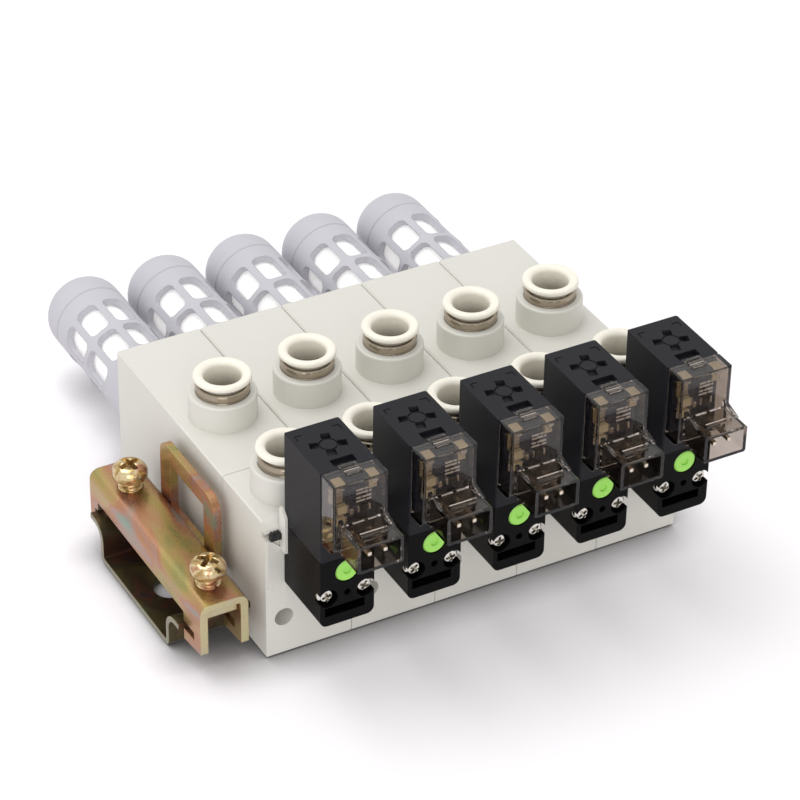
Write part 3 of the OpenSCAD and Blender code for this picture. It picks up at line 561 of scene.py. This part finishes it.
class EJECTOR_OT_stage(bpy.types.Operator):
    """Lay the floor, light the studio and set the camera"""
    bl_idname = "ejector.stage"
    bl_label = "Stage"
    bl_options = {"REGISTER", "UNDO"}

    # Floor: half its width and its gap below the part, in metres
    FLOOR_HALF, FLOOR_GAP = 3.0, 0.0002
    # Contact shade: its reach in metres, the openness where it is darkest and the share of light left there
    SHADE_REACH, SHADE_FROM, SHADE_LIGHT = 0.009, 0.3, 0.12
    # Light that the paper adds in the camera's view
    FLOOR_GLOW = 0.12

    # Softbox: name, place, width and height in metres
    SOFTBOXES = (("key", (-0.16, 0.2, 0.68), 0.55, 0.45), ("fill", (-0.3, -0.6, 0.3), 0.5, 0.5))
    LAMP_AIM = (0.0, 0.02, 0.02)

    # Camera fitted to the photo's edges: its place in metres, and what lies to its right and ahead
    CAMERA_PLACE = (-0.23292, -0.41292, 0.35258)
    CAMERA_RIGHT = (0.87732, -0.47975, 0.01333)
    CAMERA_AHEAD = (0.40127, 0.71802, -0.56872)
    SENSOR_MM, CLIP_START, CLIP_END = 36.0, 0.05, 20.0

    def execute(self, context):
        settings = context.scene.ejector_stage
        scene = context.scene
        scene.view_settings.view_transform = "Standard"
        self.lay_floor(scene, settings)
        self.light_world(scene, settings)
        self.hang_lamps(scene, settings)
        self.set_camera(scene, settings)
        return {"FINISHED"}

    def lay_floor(self, scene, settings):
        """Lays a pale paper floor just below the part."""
        bm = bmesh.new()
        bmesh.ops.create_grid(bm, x_segments=8, y_segments=8, size=self.FLOOR_HALF)
        mesh = bpy.data.meshes.new("studio_floor")
        bm.to_mesh(mesh)
        bm.free()
        floor = bpy.data.objects.new("studio_floor", mesh)
        floor.location.z = CAD_LOW.z - self.FLOOR_GAP
        scene.collection.objects.link(floor)
        mesh.materials.append(self.matt_paper(settings.floor))

    def matt_paper(self, colour):
        """Matt paper that glows a little in the camera's view, so that it comes out nearly white.

        What the camera sees of it darkens close to the part, while the light that it throws back stays.
        """
        material, tree = new_material("Matt paper sweep")
        near = add_node(tree, "ShaderNodeAmbientOcclusion", {"Distance": self.SHADE_REACH}, samples=8)
        dim = add_node(tree, "ShaderNodeMapRange", {
            "Value": near.outputs["AO"], "From Min": self.SHADE_FROM, "From Max": 1.0,
            "To Min": self.SHADE_LIGHT, "To Max": 1.0})
        path = add_node(tree, "ShaderNodeLightPath")
        shade = add_node(tree, "ShaderNodeMix", {
            FACTOR: path.outputs["Is Camera Ray"], NUMBER_A: 1.0, NUMBER_B: dim.outputs["Result"]})
        tint = add_node(tree, "ShaderNodeMix", {
            FACTOR: shade.outputs[NUMBER_OUT], COLOUR_A: BLACK, COLOUR_B: opaque(colour)},
            data_type="RGBA")
        paper = add_node(tree, "ShaderNodeBsdfPrincipled", {
            "Base Color": tint.outputs[COLOUR_OUT], "Roughness": 0.9, "Specular IOR Level": 0.2})
        seen = add_node(tree, "ShaderNodeMath", {
            0: path.outputs["Is Camera Ray"], 1: self.FLOOR_GLOW}, operation="MULTIPLY")
        glow = add_node(tree, "ShaderNodeMath", {
            0: seen.outputs["Value"], 1: shade.outputs[NUMBER_OUT]}, operation="MULTIPLY")
        lift = add_node(tree, "ShaderNodeEmission", {"Color": WHITE, "Strength": glow.outputs["Value"]})
        total = add_node(tree, "ShaderNodeAddShader", {
            0: paper.outputs["BSDF"], 1: lift.outputs["Emission"]})
        add_node(tree, "ShaderNodeOutputMaterial", {"Surface": total.outputs["Shader"]})
        return material

    def light_world(self, scene, settings):
        """White where it is seen, mirrored or looked at through a cover, and a softer light for all else."""
        world = bpy.data.worlds.new("Studio")
        scene.world = world
        world.use_nodes = True
        tree = world.node_tree
        tree.nodes.clear()
        path = add_node(tree, "ShaderNodeLightPath")
        direct = add_node(tree, "ShaderNodeMath", {
            0: path.outputs["Is Camera Ray"], 1: path.outputs["Is Glossy Ray"]}, operation="MAXIMUM")
        seen = add_node(tree, "ShaderNodeMath", {
            0: direct.outputs["Value"], 1: path.outputs["Is Transmission Ray"]}, operation="MAXIMUM")
        strength = add_node(tree, "ShaderNodeMix", {
            FACTOR: seen.outputs["Value"], NUMBER_A: settings.sky, NUMBER_B: 1.0})
        sky = add_node(tree, "ShaderNodeBackground", {
            "Color": WHITE, "Strength": strength.outputs[NUMBER_OUT]})
        add_node(tree, "ShaderNodeOutputWorld", {"Surface": sky.outputs["Background"]})

    def hang_lamps(self, scene, settings):
        """Hangs the softboxes and aims them at the part."""
        for name, place, width, height in self.SOFTBOXES:
            data = bpy.data.lights.new(name + "_softbox", "AREA")
            data.shape = "RECTANGLE"
            data.size = width
            data.size_y = height
            data.energy = getattr(settings, name)
            lamp = bpy.data.objects.new(name + "_softbox", data)
            lamp.location = place
            lamp.rotation_mode = "QUATERNION"
            lamp.rotation_quaternion = (Vector(self.LAMP_AIM) - lamp.location).to_track_quat("-Z", "Y")
            scene.collection.objects.link(lamp)

    def set_camera(self, scene, settings):
        """Sets the camera to the photo's view."""
        data = bpy.data.cameras.new("photo_camera")
        data.lens = settings.lens
        data.sensor_width = self.SENSOR_MM
        data.clip_start = self.CLIP_START
        data.clip_end = self.CLIP_END
        camera = bpy.data.objects.new("photo_camera", data)
        right = Vector(self.CAMERA_RIGHT)
        ahead = Vector(self.CAMERA_AHEAD)
        up = right.cross(ahead)
        turn = Matrix((right, up, -ahead)).transposed()
        camera.matrix_world = Matrix.Translation(self.CAMERA_PLACE) @ turn.to_4x4()
        scene.collection.objects.link(camera)
        scene.camera = camera


class EJECTOR_OT_bodies(bpy.types.Operator):
    """Finish heads and bodies as moulded light grey PBT"""
    bl_idname = "ejector.bodies"
    bl_label = "Heads and bodies"
    bl_options = {"REGISTER", "UNDO"}

    def execute(self, context):
        edge = context.scene.ejector_detail.edge / MM
        # PBT from a finely eroded mould: satin, with soft highlights along the edges
        grey = moulded_plastic(
            "PBT moulded light grey", context.scene.ejector_finish.body, grit_mm=0.35, depth_mm=0.004,
            roughness=0.42, ior=1.55, edge_mm=edge, drift=0.02)
        dress(each("ejector_body") + each("valve_head"), grey)
        return {"FINISHED"}


class EJECTOR_OT_fittings(bpy.types.Operator):
    """Turn the release rings with their broad lips, and finish sleeves, grab rings and seals"""
    bl_idname = "ejector.fittings"
    bl_label = "Push-in fittings"
    bl_options = {"REGISTER", "UNDO"}

    # Ring: radius of its hole, thickness and overhang of its flange, and the break of the flange's underside
    HOLE_MM, FLANGE_MM, OVERHANG_MM, BREAK_MM = 3.2, 1.05, 1.04, 0.3
    # Radius of its top's outer edge, and of the lip that runs down into the hole
    EDGE_MM, LIP_MM = 0.5, 0.95
    RING_SEGMENTS, MERGE_MM = 64, 1e-4

    def execute(self, context):
        finish = context.scene.ejector_finish
        # Acetal: dense and slippery, so it has a soft sheen and hardly any grit
        ivory = moulded_plastic(
            "Acetal moulded ivory", finish.ring, grit_mm=0.5, depth_mm=0.002, roughness=0.33, ior=1.48,
            edge_mm=0.12, drift=0.015)
        # Nickel over turned brass: bright, slightly warm, with the lathe's rings in it.
        # Its colour is painted darker and browner, a painted reflection of dark surroundings that it mirrors
        nickel = plated_metal(
            "Brass turned nickel-plated", finish.nickel, roughness=0.1, turning_mm=0.08, depth_mm=0.001,
            edge_mm=0.35)
        # Bare spring steel: greyer than the nickel, with the long dull glints of rolled strip
        spring = plated_metal(
            "Stainless steel stamped", linear("#9C9C9A"), roughness=0.3, turning_mm=0.3, depth_mm=0.002,
            edge_mm=0.03)
        # Nitrile rubber: black and dull, so seals and gaskets read as shadow lines
        rubber = moulded_plastic(
            "Nitrile rubber moulded", linear("#161616"), grit_mm=0.25, depth_mm=0.006, roughness=0.7,
            ior=1.52, edge_mm=0.05)
        for name in each("vacuum_ring") + each("supply_ring"):
            self.turn_ring(name, ivory)
        dress(["fitting_sleeves"], nickel)
        dress(["grab_rings"], spring)
        dress(["tube_seals", "valve_gaskets"], rubber)
        return {"FINISHED"}

    def turn_ring(self, name, ivory):
        """Turns a release ring whose broad lip runs down into the hole in one curve."""
        low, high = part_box(name)
        rim = (high.x - low.x) / 2 / MM
        tall = (high.z - low.z) / MM
        under = tall - self.FLANGE_MM
        stem = rim - self.OVERHANG_MM
        quarter = [math.pi / 2 * i / ARC_STEPS for i in range(ARC_STEPS + 1)]
        profile = [(self.HOLE_MM, 0), (stem, 0), (stem, under),
                   (rim - self.BREAK_MM, under), (rim, under + self.BREAK_MM)]
        profile += [
            (rim - self.EDGE_MM * (1 - math.cos(a)), tall - self.EDGE_MM * (1 - math.sin(a)))
            for a in quarter]
        profile += [
            (self.HOLE_MM + self.LIP_MM * (1 - math.sin(a)), tall - self.LIP_MM * (1 - math.cos(a)))
            for a in quarter]
        bm = bmesh.new()
        place = Matrix.Translation(((low.x + high.x) / 2, (low.y + high.y) / 2, low.z))
        add_turned(bm, profile + profile[:1], place, self.RING_SEGMENTS)
        # The profile ends where it starts, so its first and last rings become one
        bmesh.ops.remove_doubles(bm, verts=bm.verts, dist=self.MERGE_MM * MM)
        new_piece("turned_" + name, bm, [ivory], name, name)


class EJECTOR_OT_silencers(bpy.types.Operator):
    """Finish silencer cages and their porous elements"""
    bl_idname = "ejector.silencers"
    bl_label = "Silencers"
    bl_options = {"REGISTER", "UNDO"}

    def execute(self, context):
        finish = context.scene.ejector_finish
        # Polypropylene: waxy and cool, softer at its edges than the bodies
        cage = moulded_plastic(
            "Polypropylene moulded cool grey", finish.cage, grit_mm=0.5, depth_mm=0.006, roughness=0.5,
            ior=1.49, edge_mm=0.25, drift=0.03)
        # Sintered polyethylene: chalky white, with a painted glow that brightens it between the cage's bars
        element = sintered_polyethylene("Polyethylene sintered white", finish.element)
        dress(each("silencer_cage"), cage)
        dress(["silencer_elements"], element)
        return {"FINISHED"}


class EJECTOR_OT_valves(bpy.types.Operator):
    """Finish coil housings, valve bases and override buttons"""
    bl_idname = "ejector.valves"
    bl_label = "Pilot valves"
    bl_options = {"REGISTER", "UNDO"}

    # Share of the moulded edge radius that these smaller mouldings have
    CRISP = 0.7

    def execute(self, context):
        finish = context.scene.ejector_finish
        edge = context.scene.ejector_detail.edge / MM * self.CRISP
        # Glass-filled PBT over the coil: a spark-eroded satin that stays charcoal in full light
        charcoal = moulded_plastic(
            "PBT glass-filled charcoal", finish.coil, grit_mm=0.22, depth_mm=0.006, roughness=0.45,
            ior=1.55, edge_mm=edge, sheen=0.12)
        # PPS: harder and smoother, so it is nearly black with a clean but quiet gloss
        black = moulded_plastic(
            "PPS moulded black", finish.base, grit_mm=0.4, depth_mm=0.003, roughness=0.36, ior=1.6,
            edge_mm=edge, sheen=0.06)
        # Dyed PBT: a bright, even green with a soft glint on the button's rim
        green = moulded_plastic(
            "PBT moulded green", finish.button, grit_mm=0.4, depth_mm=0.003, roughness=0.38, ior=1.55,
            edge_mm=0.12, drift=0.03)
        dress(each("coil_housing"), charcoal)
        dress(each("valve_base"), black)
        dress(each("override_button"), green)
        return {"FINISHED"}


class EJECTOR_OT_boards(bpy.types.Operator):
    """Build the circuit boards with their parts, seen through the covers"""
    bl_idname = "ejector.boards"
    bl_label = "Circuit boards"
    bl_options = {"REGISTER", "UNDO"}

    # Finishes, in the order of the board's materials
    MASK, GILT, TIN, CERAMIC, RESIN, INK = range(6)
    # Board: width, height, thickness, gap to the coil housing behind it and round of its edges
    WIDTH_MM, TALL_MM, THICK_MM, GAP_MM, ROUND_MM = 8.2, 11.6, 0.8, 0.2, 0.06
    # Depth to which parts and ink sink into the board, so that no gap shows
    SEAT_MM = 0.02
    # Part: middle x, lower z above the board's edge, width, height, thickness in mm, finish
    PARTS = (
        (-3.0, 7.6, 1.7, 2.9, 0.9, GILT), (3.2, 8.7, 1.5, 1.8, 0.9, GILT),
        (-2.3, 5.3, 1.7, 1.5, 1.0, CERAMIC), (-3.3, 5.3, 0.4, 1.5, 1.0, TIN),
        (-1.3, 5.3, 0.4, 1.5, 1.0, TIN), (-2.5, 3.2, 1.5, 1.4, 1.0, CERAMIC),
        (-3.4, 3.2, 0.4, 1.4, 1.0, TIN), (-1.6, 3.2, 0.4, 1.4, 1.0, TIN),
        (1.9, 4.3, 1.7, 1.2, 0.5, RESIN), (0.9, 4.3, 0.35, 1.2, 0.5, TIN),
        (2.9, 4.3, 0.35, 1.2, 0.5, TIN), (-0.3, 4.2, 0.7, 1.1, 0.5, TIN),
        (0.0, 1.2, 5.2, 1.8, 1.6, RESIN))
    PART_ROUND_MM = 0.1
    # White bar: left end, lower edge, width, in the place of small print
    BARS = ((0.7, 8.1, 1.3), (2.2, 8.1, 1.2), (0.7, 7.45, 2.1), (3.0, 7.45, 0.4),
            (0.7, 6.6, 0.8), (1.7, 6.6, 1.7), (0.7, 5.95, 1.6), (2.5, 5.95, 0.9))
    BAR_TALL_MM, BAR_THICK_MM = 0.35, 0.03
    # Contact strip: distance from the middle, width, lower z below the board's top, height and reach forward
    STRIP_SIDE_MM, STRIP_WIDTH_MM, STRIP_DOWN_MM, STRIP_TALL_MM, STRIP_REACH_MM = 3.0, 1.7, 0.35, 0.3, 2.0
    # Drop of solder at the strip's tip: width, lower z below the board's top, height and thickness
    DROP_WIDTH_MM, DROP_DOWN_MM, DROP_TALL_MM, DROP_THICK_MM = 1.2, 1.0, 0.9, 0.3
    METAL_ROUND_MM = 0.08

    def execute(self, context):
        # Gilt copper: pale warm glints behind the smoke dye
        gilt = plated_metal(
            "Copper strip gilt", linear("#FBF3D6"), roughness=0.3, turning_mm=0.4, depth_mm=0.003,
            edge_mm=0.05)
        # Tinned solder: silvery, with rounded edges that catch the light
        tin = plated_metal(
            "Solder tinned", linear("#F7F6F2"), roughness=0.22, turning_mm=0.5, depth_mm=0.01, edge_mm=0.12)
        # Fired ceramic: pale tan and dull, as the middles of small capacitors are
        ceramic = moulded_plastic(
            "Ceramic fired tan", linear("#F3EBC9"), grit_mm=0.2, depth_mm=0.004, roughness=0.4, ior=1.6,
            edge_mm=0.05)
        # Epoxy resin: black blocks with a faint sheen
        resin = moulded_plastic(
            "Epoxy resin black", linear("#1B1A1C"), grit_mm=0.2, depth_mm=0.004, roughness=0.35, ior=1.55,
            edge_mm=0.05)
        # Legend ink: flat white bars that still show through the cover
        ink = moulded_plastic(
            "Legend ink white", linear("#FCFCFD"), grit_mm=0.2, depth_mm=0.002, roughness=0.6, ior=1.5,
            edge_mm=0.02)
        # Solder mask: a deep blue gloss, a shade paler over the copper
        mask = solder_mask("Epoxy board dark blue", context.scene.ejector_finish.board, copper_mm=0.9)
        bm = bmesh.new()
        for k in range(1, STATIONS + 1):
            self.add_board(bm, k)
        finishes = [mask, gilt, tin, ceramic, resin, ink]
        new_piece("board_assemblies", bm, finishes, "circuit_boards")
        return {"FINISHED"}

    def add_board(self, bm, k):
        """Adds one station's board with its parts, between the cover and the coil housing."""
        x = middle_x("smoke_cover_%d" % k)
        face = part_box("coil_housing_%d" % k)[0].y - (self.GAP_MM + self.THICK_MM) * MM
        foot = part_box("circuit_boards")[0].z

        def block(left, lower, width, height, front, behind, finish, round_mm=0.0):
            """A block that reaches in front of and behind the board's face. Sizes in millimetres."""
            add_block(bm, (x + left * MM, face - front * MM, foot + lower * MM),
                      (x + (left + width) * MM, face + behind * MM, foot + (lower + height) * MM),
                      finish, round_mm)

        block(-self.WIDTH_MM / 2, 0, self.WIDTH_MM, self.TALL_MM, 0, self.THICK_MM, self.MASK, self.ROUND_MM)
        for middle, lower, width, height, thick, finish in self.PARTS:
            block(middle - width / 2, lower, width, height, thick, self.SEAT_MM, finish, self.PART_ROUND_MM)
        for left, lower, width in self.BARS:
            block(left, lower, width, self.BAR_TALL_MM, self.BAR_THICK_MM, self.SEAT_MM, self.INK)
        for side in (-self.STRIP_SIDE_MM, self.STRIP_SIDE_MM):
            block(side - self.STRIP_WIDTH_MM / 2, self.TALL_MM - self.STRIP_DOWN_MM, self.STRIP_WIDTH_MM,
                  self.STRIP_TALL_MM, self.STRIP_REACH_MM, 0, self.GILT, self.METAL_ROUND_MM)
            block(side - self.DROP_WIDTH_MM / 2, self.TALL_MM - self.DROP_DOWN_MM, self.DROP_WIDTH_MM,
                  self.DROP_TALL_MM, self.STRIP_REACH_MM, self.DROP_THICK_MM - self.STRIP_REACH_MM,
                  self.TIN, self.METAL_ROUND_MM)


class EJECTOR_OT_covers(bpy.types.Operator):
    """Finish the clear covers and the connector pins"""
    bl_idname = "ejector.covers"
    bl_label = "Covers and connectors"
    bl_options = {"REGISTER", "UNDO"}

    def execute(self, context):
        finish = context.scene.ejector_finish
        # Polycarbonate: brownish and clear, with sharp reflections and darker edges where walls overlap
        smoke = smoke_polycarbonate("Polycarbonate clear smoke", finish.smoke, roughness=0.03)
        # Tinned brass: thin bright pins that keep a trace of warmth
        pins = plated_metal(
            "Brass pins tinned", linear("#E0D6C4"), roughness=0.18, turning_mm=0.3, depth_mm=0.001,
            edge_mm=0.08)
        dress(each("smoke_cover"), smoke)
        dress(["connector_pins"], pins)
        return {"FINISHED"}


class EJECTOR_OT_jets(bpy.types.Operator):
    """Finish the brass nozzles and diffusers inside the bodies"""
    bl_idname = "ejector.jets"
    bl_label = "Nozzles and diffusers"
    bl_options = {"REGISTER", "UNDO"}

    def execute(self, context):
        finish = context.scene.ejector_finish
        # Bare turned brass: yellow, with the fine rings of the lathe
        brass = plated_metal(
            "Brass turned bare", finish.brass, roughness=0.22, turning_mm=0.15, depth_mm=0.003, edge_mm=0.05)
        dress(["nozzles", "diffusers"], brass)
        return {"FINISHED"}


class EJECTOR_OT_screws(bpy.types.Operator):
    """Turn the valves' fixing screws, with their cross recesses"""
    bl_idname = "ejector.screws"
    bl_label = "Valve screws"
    bl_options = {"REGISTER", "UNDO"}

    # Screw: distance from the valve's middle, height above its base, depth of the head's underside
    SIDE_MM, UP_MM, DEEP_MM = 3.4, 5.5, 1.8
    # Head: width, height and round of its top. Recess: length and width, and its depth
    HEAD_MM, TALL_MM, CROWN_MM = 3.0, 1.2, 0.75
    RECESS_MM, RECESS_DEEP_MM = (2.0, 0.5), 0.85
    # Shank: radius and length, and how far it runs into the head
    SHANK_MM, LENGTH_MM, INTO_HEAD_MM = 0.8, 15.6, 0.05
    SHANK_SEGMENTS = 16
    # Each screw stops at a turn of its own: degrees from station to station and from side to side
    STATION_TURN, SIDE_TURN = 37, 25

    def execute(self, context):
        # Bright nickel on cold-headed steel: it mirrors the room, so the heads sparkle against the black
        nickel = plated_metal(
            "Steel screws nickel-plated", linear("#DEDBD3"), roughness=0.07, turning_mm=0.2,
            depth_mm=0.001, edge_mm=0.06)
        head = cross_head(
            self.HEAD_MM, self.TALL_MM, self.CROWN_MM, self.RECESS_MM, self.RECESS_DEEP_MM,
            context.scene.ejector_detail.head_segments)
        shank = ((0, -self.LENGTH_MM), (self.SHANK_MM, -self.LENGTH_MM),
                 (self.SHANK_MM, self.INTO_HEAD_MM), (0, self.INTO_HEAD_MM))
        bm = bmesh.new()
        for k in range(1, STATIONS + 1):
            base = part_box("valve_base_%d" % k)[0]
            x = middle_x("valve_base_%d" % k)
            for side in (-1, 1):
                spot = (x + side * self.SIDE_MM * MM, base.y + self.DEEP_MM * MM, base.z + self.UP_MM * MM)
                turn = math.radians(self.STATION_TURN * k + self.SIDE_TURN * side)
                place = (Matrix.Translation(spot) @ Matrix.Rotation(math.pi / 2, 4, "X")
                         @ Matrix.Rotation(turn, 4, "Z"))
                add_copy(bm, head, place)
                add_turned(bm, shank, place, self.SHANK_SEGMENTS)
        bpy.data.meshes.remove(head)
        new_piece("turned_valve_screws", bm, [nickel], "valve_screws")
        return {"FINISHED"}


class EJECTOR_OT_rail(bpy.types.Operator):
    """Finish rail and clamp in yellow zinc, and turn the clamp screws with recess and thread"""
    bl_idname = "ejector.rail"
    bl_label = "Rail and end clamp"
    bl_options = {"REGISTER", "UNDO"}

    # Colours of the passivation as its film thickens: straw, pink and grey-green
    FILM = ((0.30, "#8C8C58"), (0.42, "#AA945C"), (0.50, "#B08E64"),
            (0.57, "#B07E5E"), (0.64, "#AA8678"), (0.72, "#87988A"))
    # On the rail: olive, brown, plum and teal film, made darker as painted shade under the bodies
    SHADED_FILM = ((0.30, "#666C4A"), (0.42, "#6A5C3E"), (0.50, "#564E3A"),
                 (0.58, "#6E4C3C"), (0.66, "#4C4646"), (0.74, "#446A5E"))
    # On the screws: straw and copper
    SCREW_FILM = ((0.32, "#8C7448"), (0.43, "#BC9E6A"), (0.52, "#D8C9A0"),
                  (0.60, "#C49E7A"), (0.70, "#9A6450"))

    # Clamp screw's head: width, height and round of its top. Recess: length and width, and its depth
    HEAD_MM, TALL_MM, CROWN_MM = 6.1, 2.45, 1.5
    RECESS_MM, RECESS_DEEP_MM = (4.0, 0.95), 1.9
    # Degrees by which the front and the rear screw are turned
    TURNS = (40, 12)
    # Shank: radius, and the same at its tip, height of the tip's taper and how far it runs into the head
    SHANK_MM, TIP_MM, TAPER_MM, INTO_HEAD_MM = 1.9, 1.6, 0.4, 0.05
    # Thread: radius of its crest, and where it starts above the tip and ends below the head
    CREST_MM, START_MM, END_MM = 2.2, 0.6, 0.15

    def execute(self, context):
        # Pressed strip, zinc-plated and yellow-passivated: a satin straw with pink and olive clouds along it
        plate = yellow_zinc(
            "Steel zinc-plated yellow", self.FILM, roughness=0.3, drift_mm=6.0, stretch=3.0, edge_mm=0.25,
            sheared=("Y", "#CFCFA6"))
        # The bent loop: the same plate, with rounder clouds
        loop = yellow_zinc(
            "Steel loop zinc-plated yellow", self.FILM, roughness=0.3, drift_mm=6.0, stretch=1.5,
            edge_mm=0.2)
        # The rail lies in the bodies' shade, which is painted into its darker film colours; only its cut end
        # is pale
        rail = yellow_zinc(
            "Steel rail zinc-plated yellow", self.SHADED_FILM, roughness=0.33, drift_mm=7.0, stretch=1.0,
            edge_mm=0.2, sheared=("X", "#A09E88"))
        # Screws are barrel-plated: brighter and smoother, with small patches of straw and copper
        screws = yellow_zinc(
            "Steel screws zinc-plated yellow", self.SCREW_FILM, roughness=0.12, drift_mm=2.2, stretch=1.0,
            edge_mm=0.1)
        dress(["clamp_channel", "clamp_plate"], plate)
        dress(["clamp_loop"], loop)
        dress(["din_rail"], rail)
        self.turn_screws(context.scene.ejector_detail, screws)
        return {"FINISHED"}

    def turn_screws(self, detail, finish):
        """Turns the two clamp screws in the place of their plain solids."""
        low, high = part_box("clamp_screws")
        head = cross_head(
            self.HEAD_MM, self.TALL_MM, self.CROWN_MM, self.RECESS_MM, self.RECESS_DEEP_MM,
            detail.head_segments)
        under = high.z - self.TALL_MM * MM
        length = (under - low.z) / MM
        shank = ((0, -length), (self.TIP_MM, -length), (self.SHANK_MM, self.TAPER_MM - length),
                 (self.SHANK_MM, self.INTO_HEAD_MM), (0, self.INTO_HEAD_MM))
        middles = (low.y + self.HEAD_MM / 2 * MM, high.y - self.HEAD_MM / 2 * MM)
        bm = bmesh.new()
        for y, turn in zip(middles, self.TURNS):
            place = (Matrix.Translation((middle_x("clamp_screws"), y, under))
                     @ Matrix.Rotation(math.radians(turn), 4, "Z"))
            add_copy(bm, head, place)
            add_turned(bm, shank, place)
            add_thread(bm, self.SHANK_MM, self.CREST_MM, detail.thread_pitch / MM,
                       self.START_MM - length, -self.END_MM, place)
        bpy.data.meshes.remove(head)
        new_piece("turned_clamp_screws", bm, [finish], "clamp_screws")


class EJECTOR_PT_panel(bpy.types.Panel):
    """Lists the settings and the steps"""
    bl_idname = "EJECTOR_PT_panel"
    bl_label = "Vacuum ejector row"
    bl_space_type = "VIEW_3D"
    bl_region_type = "UI"
    bl_category = "Ejectors"

    def draw(self, context):
        for name, group in GROUPS.items():
            box = self.layout.box()
            for setting in group.__annotations__:
                box.prop(getattr(context.scene, name), setting)
        for step in STEPS:
            self.layout.operator(step.bl_idname)


GROUPS = {
    "ejector_stage": EjectorStageSettings,
    "ejector_finish": EjectorFinishSettings,
    "ejector_detail": EjectorDetailSettings,
}
STEPS = (
    EJECTOR_OT_stage, EJECTOR_OT_bodies, EJECTOR_OT_fittings, EJECTOR_OT_silencers, EJECTOR_OT_valves,
    EJECTOR_OT_boards, EJECTOR_OT_covers, EJECTOR_OT_jets, EJECTOR_OT_screws, EJECTOR_OT_rail)
CLASSES = (*GROUPS.values(), *STEPS, EJECTOR_PT_panel)


def register():
    """Registers the classes and hangs the settings on the scene."""
    for cls in CLASSES:
        bpy.utils.register_class(cls)
    for name, group in GROUPS.items():
        setattr(bpy.types.Scene, name, PointerProperty(type=group))


def unregister():
    """Takes the settings and the classes away again."""
    for name in GROUPS:
        delattr(bpy.types.Scene, name)
    for cls in reversed(CLASSES):
        bpy.utils.unregister_class(cls)


def main():
    """Runs every step."""
    register()
    for step in STEPS:
        group, name = step.bl_idname.split(".")
        getattr(getattr(bpy.ops, group), name)()


if __name__ == "__main__":
    main()
